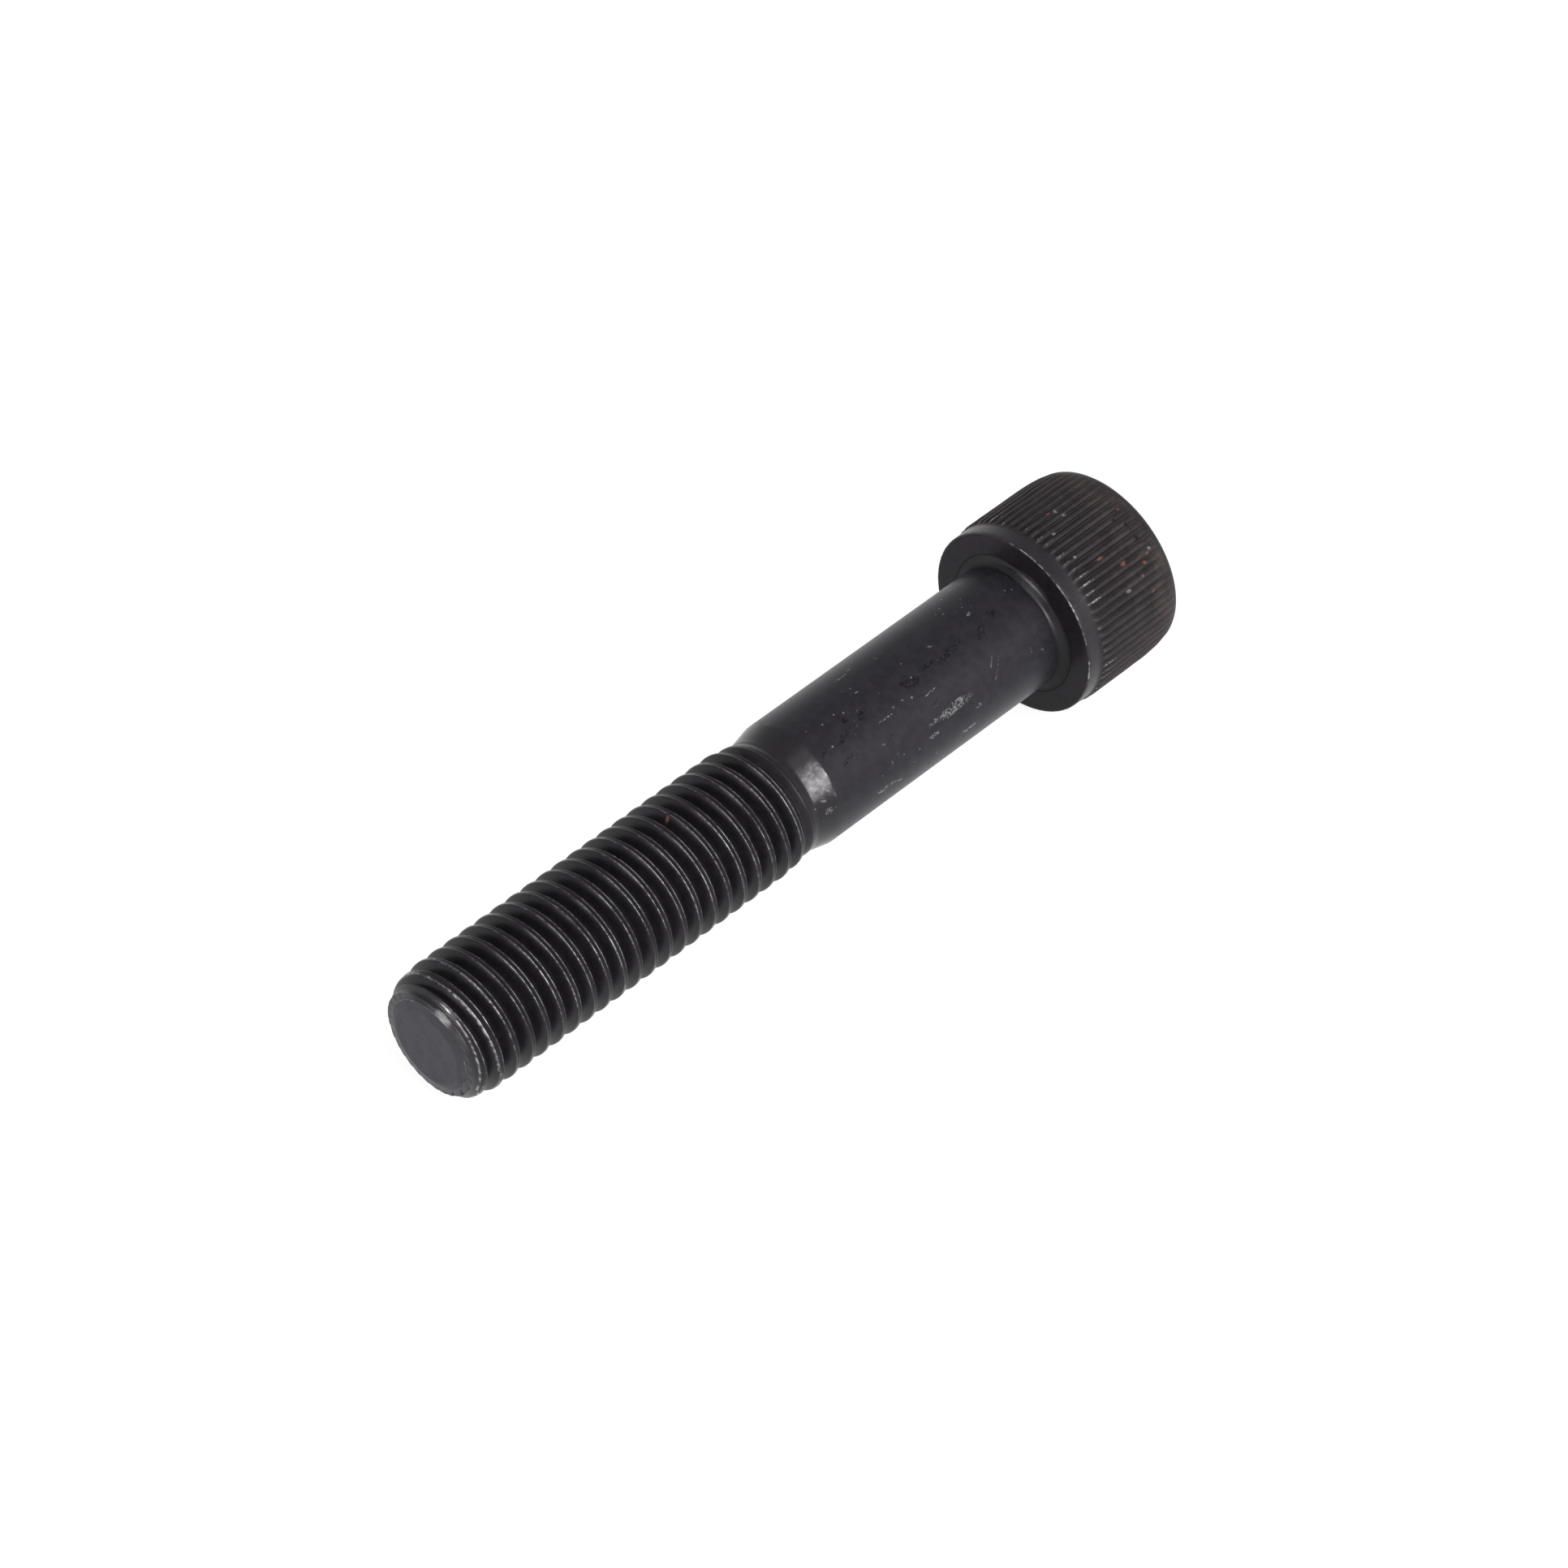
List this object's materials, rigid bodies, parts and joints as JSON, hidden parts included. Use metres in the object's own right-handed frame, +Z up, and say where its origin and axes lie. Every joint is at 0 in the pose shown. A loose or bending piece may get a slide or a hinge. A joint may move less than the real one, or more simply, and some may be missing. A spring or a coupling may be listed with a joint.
{
  "type": "socket head cap screw",
  "caption": "Black oxide hexagon socket head cap screw with a knurled cylindrical head, plain shank and partly threaded right-hand metric thread.",
  "frame": {"origin": "on the screw's axis, in the plane of the bearing face under the head", "axes": "+X along the axis from the tip towards the head and its socket; +Z up with the screw lying on its side, and square to one flat of the hexagon socket"},
  "size_m": [0.082, 0.0184, 0.0182],
  "materials": {
    "black_oxide_steel": "satin black oxide on alloy steel, with edges worn to bright metal"
  },
  "bodies": {
    "root": {"cap_screw": "black_oxide_steel"}
  },
  "joints": []
}
